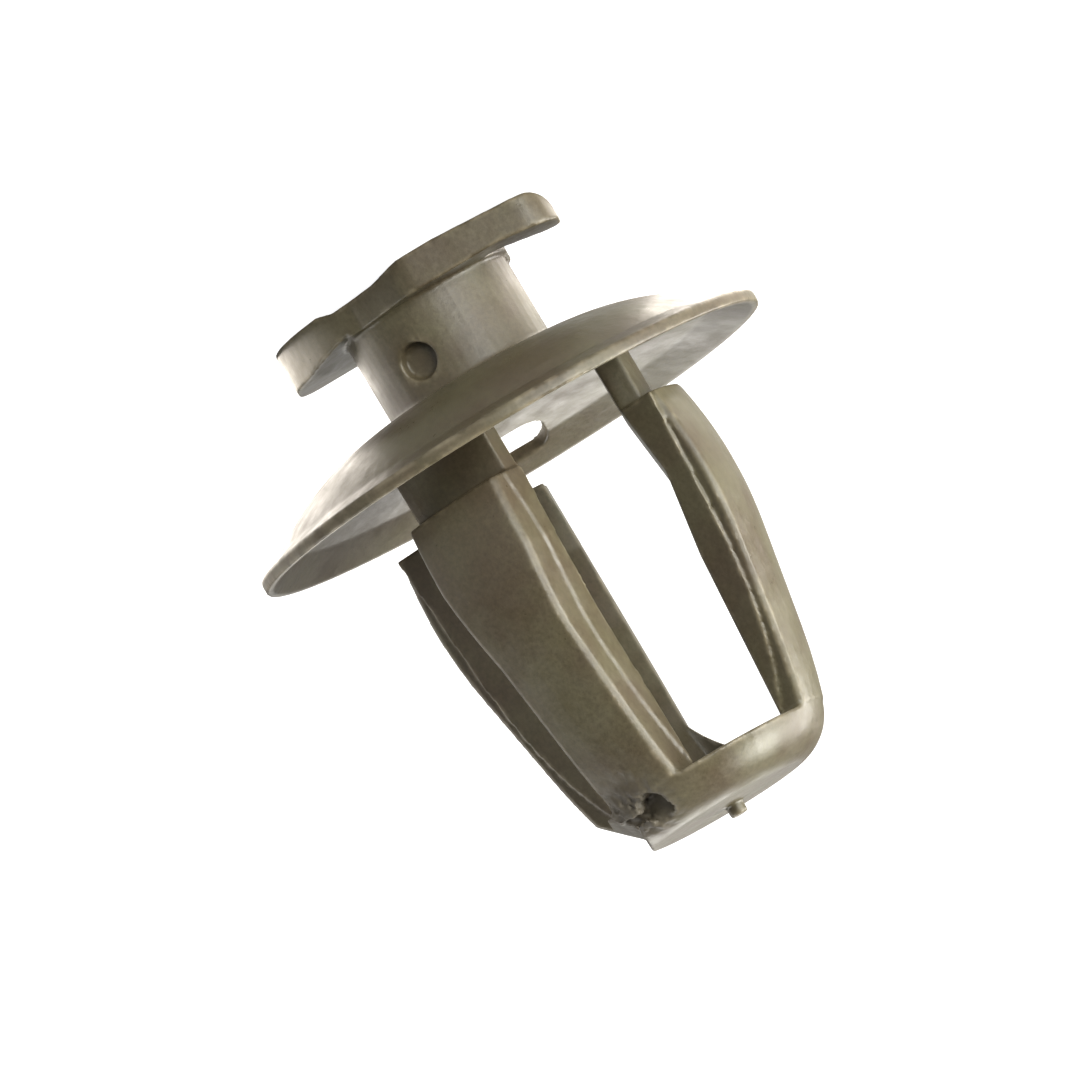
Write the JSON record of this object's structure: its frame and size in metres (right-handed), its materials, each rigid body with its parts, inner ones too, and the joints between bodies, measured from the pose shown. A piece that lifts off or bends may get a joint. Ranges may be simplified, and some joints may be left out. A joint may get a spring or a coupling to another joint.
{
  "type": "mud flap clip",
  "caption": "Moulded push-in clip with an S-shaped head plate, a springy round dish flange and a barbed cage of springy legs that closes in a rounded nose.",
  "frame": {"origin": "where the clip's axis meets the flat outer face of its head", "axes": "+Z along the axis from the head to the nose; +X toward the middle of the wider gap between the barbed legs, and the picture looks along +Y"},
  "size_m": [0.018, 0.018, 0.0202],
  "materials": {
    "clip_plastic": "semi-gloss, with a fine moulded grain on the legs"
  },
  "bodies": {
    "root": {"mud_flap_clip": "clip_plastic"}
  },
  "joints": []
}
